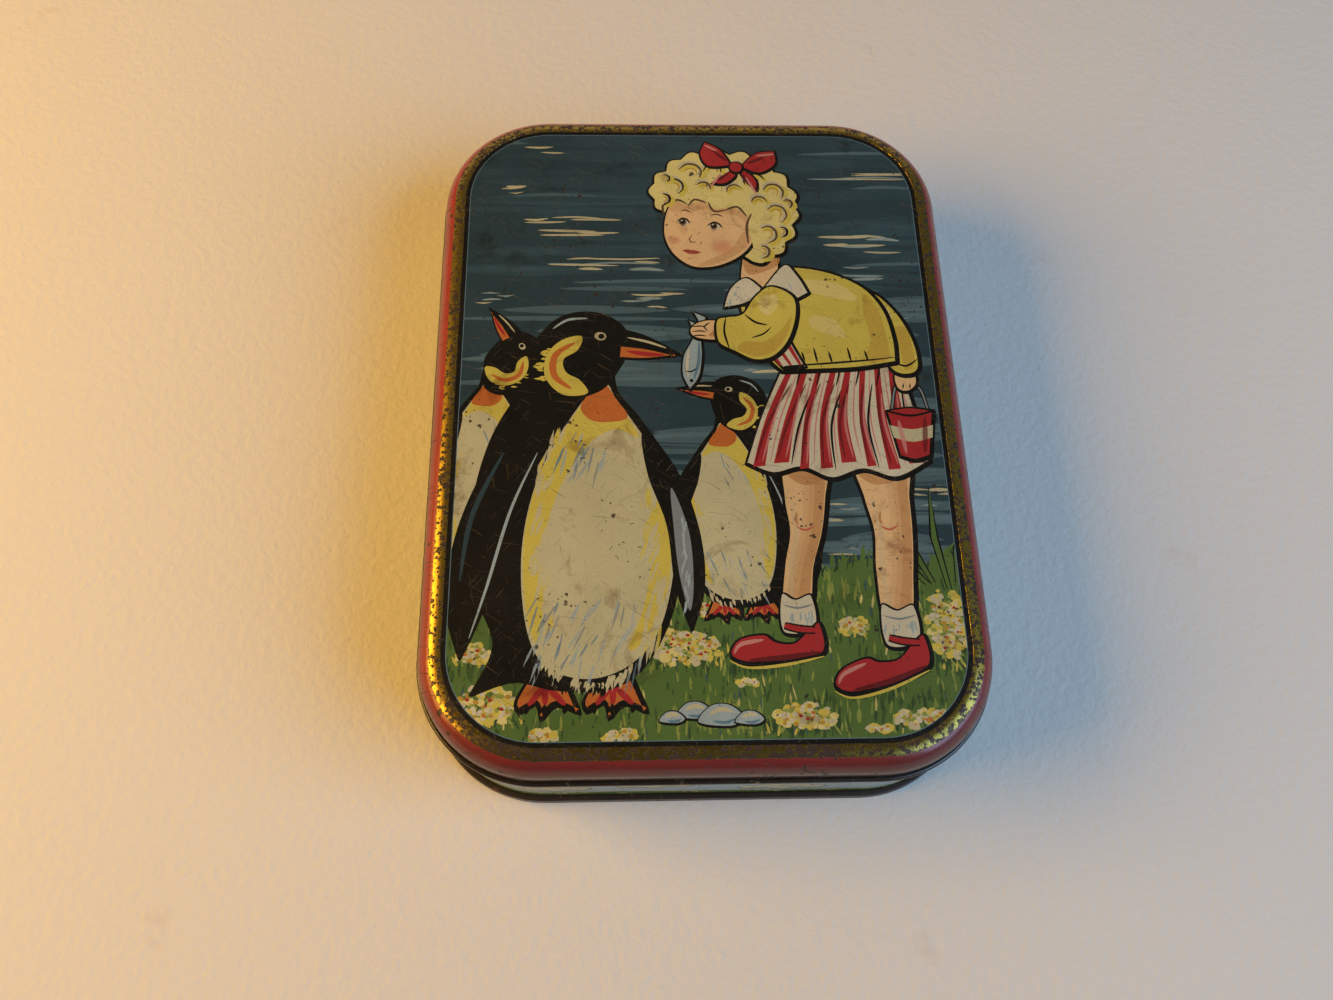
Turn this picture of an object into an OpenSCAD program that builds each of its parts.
// Slip-lid confectionery tin, three pieces of printed tinplate: a stamped lid with a rounded
// shoulder and a rolled hem, a body wall bent from one strip and locked down its rear side,
// and a recessed base whose rim is double-seamed to the wall.
// Millimetres. +Z up, +Y towards the top of the picture. The origin is the centre of the
// footprint, on the surface that the tin stands on.

/* [Lid] */
// Length of the lid over its rolled hem
lid_l = 127; // [100:1:160]
// Width of the lid over its rolled hem
lid_w = 93.8; // [75:0.1:120]
// Corner radius of the flat top panel
panel_r = 15.5; // [8:0.1:20]
// Radius of the shoulder between the top panel and the skirt
shoulder_r = 4; // [3:0.1:5]
// Depth of the lid from its top panel to the bottom of its hem
lid_depth = 7.2; // [6.5:0.1:10]
// Outside diameter of the lid's rolled hem
hem_d = 1; // [0.9:0.05:1.2]

/* [Body] */
// Overall height of the closed tin
tin_h = 25; // [20:0.5:40]
// Outside diameter of the body's rim, which is rolled inwards
rim_d = 1.2; // [1:0.05:1.4]
// Gap between the lid's skirt and the body's wall
lid_gap = 0.25; // [0.2:0.05:0.35]
// Height of the double seam that holds the base
seam_h = 2.4; // [2.2:0.1:3.2]

/* [Sheet] */
// Thickness of the tinplate
plate_t = 0.3; // [0.25:0.01:0.32]
// Gap between the folded layers of a seam
fold_gap = 0.04; // [0.03:0.01:0.05]

/* [Hidden] */
$fn = 96;
eps = 0.01;

// Every radius below is measured from the four corner centres, which all the pieces share.
skirt_out = panel_r + shoulder_r;
skirt_in = skirt_out - plate_t;
hem_out = skirt_in + hem_d;
core_x = lid_w / 2 - hem_out;
core_y = lid_l / 2 - hem_out;
lid_z = tin_h - lid_depth;
shoulder_z = tin_h - shoulder_r;

wall_out = skirt_in - lid_gap;
wall_in = wall_out - plate_t;

// The rim's roll sits as high as the inside of the lid's shoulder lets it.
rim_r = rim_d / 2;
rim_c = wall_out - rim_r;
rim_seat = shoulder_r - plate_t - rim_r - 0.15;
rim_z = shoulder_z + sqrt(pow(rim_seat, 2) - pow(rim_c - panel_r, 2));

// Layers of the double seam, from the inside out.
layer = plate_t + fold_gap;
chuck_out = wall_in - fold_gap;
chuck_in = chuck_out - plate_t;
cover_hook_in = wall_out + fold_gap;
body_hook_in = cover_hook_in + layer;
seam_in = body_hook_in + layer;
seam_out = seam_in + plate_t;
floor_z = seam_h + 0.4;

// The side seam locks the two ends of the strip, inside the rear wall.
lock_w = 3.6;
lock_t = 2.5 * plate_t;
lock_line = 0.25;
lock_top = rim_z - rim_r - 1.2;

// Sweeps a 2D outline round the rounded rectangle: x is the distance from a corner centre.
module around() {
    for (side = [0, 1]) rotate([0, 0, 180 * side]) {
        translate([core_x, core_y, 0]) rotate([90, 0, 0])
            linear_extrude(2 * core_y) children();
        translate([-core_x, core_y, 0]) rotate([0, 0, 90]) rotate([90, 0, 0])
            linear_extrude(2 * core_x) children();
        translate([core_x, core_y, 0]) rotate_extrude(angle = 90) children();
        translate([-core_x, core_y, 0]) rotate([0, 0, 90])
            rotate_extrude(angle = 90) children();
    }
}

// A flat rounded-rectangle plate that reaches r beyond the corner centres.
module plate(r, z, t) {
    translate([0, 0, z]) linear_extrude(t) union() {
        square([2 * core_x, 2 * (core_y + r)], center = true);
        square([2 * (core_x + r), 2 * core_y], center = true);
        for (x = [-core_x, core_x], y = [-core_y, core_y])
            translate([x, y]) circle(r);
    }
}

// A 2D strip from one corner to the other.
module strip(x0, z0, x1, z1) {
    translate([x0, z0]) square([x1 - x0, z1 - z0]);
}

// A 2D rolled edge of outside diameter d, with the sheet's end left just open.
module roll(d, x, z, open_x, open_z) {
    translate([x, z]) difference() {
        circle(d = d);
        circle(d = d - 2 * plate_t);
        translate([open_x, open_z]) square(fold_gap * 4, center = true);
    }
}

// The shoulder is a quarter circle that runs tangent into the panel and the skirt.
module shoulder_outline() {
    translate([panel_r, shoulder_z]) intersection() {
        difference() {
            circle(shoulder_r);
            circle(shoulder_r - plate_t);
        }
        translate([-eps, -eps]) square(shoulder_r + 1);
    }
}

// The lid: panel, shoulder, skirt and an outward roll along its edge.
module lid() {
    roll_r = (hem_d - plate_t) / 2;
    color([0.16, 0.29, 0.36]) union() {
        plate(panel_r, tin_h - plate_t, plate_t);
        around() union() {
            shoulder_outline();
            strip(skirt_in, lid_z + hem_d / 2, skirt_out, shoulder_z);
            roll(hem_d, skirt_in + hem_d / 2, lid_z + hem_d / 2,
                -roll_r / 2, roll_r * 0.866);
        }
    }
}

// The body's wall: an inward roll at its rim, and a hook at its foot for the double seam.
module wall_outline() {
    strip(wall_in, layer, wall_out, rim_z);
    strip(wall_in, layer, body_hook_in + plate_t, layer + plate_t);
    strip(body_hook_in, layer, body_hook_in + plate_t, seam_h - layer - fold_gap);
    roll(rim_d, rim_c, rim_z, (rim_d - plate_t) / 4, -(rim_d - plate_t) / 2 * 0.866);
}

module body_wall() {
    rear = core_y + wall_in;
    color([0.62, 0.68, 0.66]) difference() {
        union() {
            around() wall_outline();
            translate([-lock_w / 2, rear - lock_t, floor_z + 0.3])
                cube([lock_w, lock_t + plate_t / 2, lock_top - floor_z]);
        }
        translate([lock_w / 2, rear + plate_t * 0.6, seam_h + 0.3])
            cube([lock_line, plate_t, lid_z - seam_h]);
    }
}

// The base's rim, as one closed outline: down the chuck wall, out under the wall's hook, up the
// outside, back over the top and down behind the hook.
module base_outline() {
    hook_z = 2 * layer + fold_gap;
    hook_out = cover_hook_in + plate_t;
    polygon([
        [chuck_in, 0],
        [seam_out, 0],
        [seam_out, seam_h],
        [cover_hook_in, seam_h],
        [cover_hook_in, hook_z],
        [hook_out, hook_z],
        [hook_out, seam_h - plate_t],
        [seam_in, seam_h - plate_t],
        [seam_in, plate_t],
        [chuck_out, plate_t],
        [chuck_out, floor_z],
        [chuck_in, floor_z],
    ]);
}

// The base: a panel recessed into the wall, with its rim folded round the wall's hook.
module base() {
    color([0.16, 0.13, 0.11]) union() {
        plate(chuck_in + plate_t / 2, floor_z - plate_t, plate_t);
        around() base_outline();
    }
}

lid();
body_wall();
base();
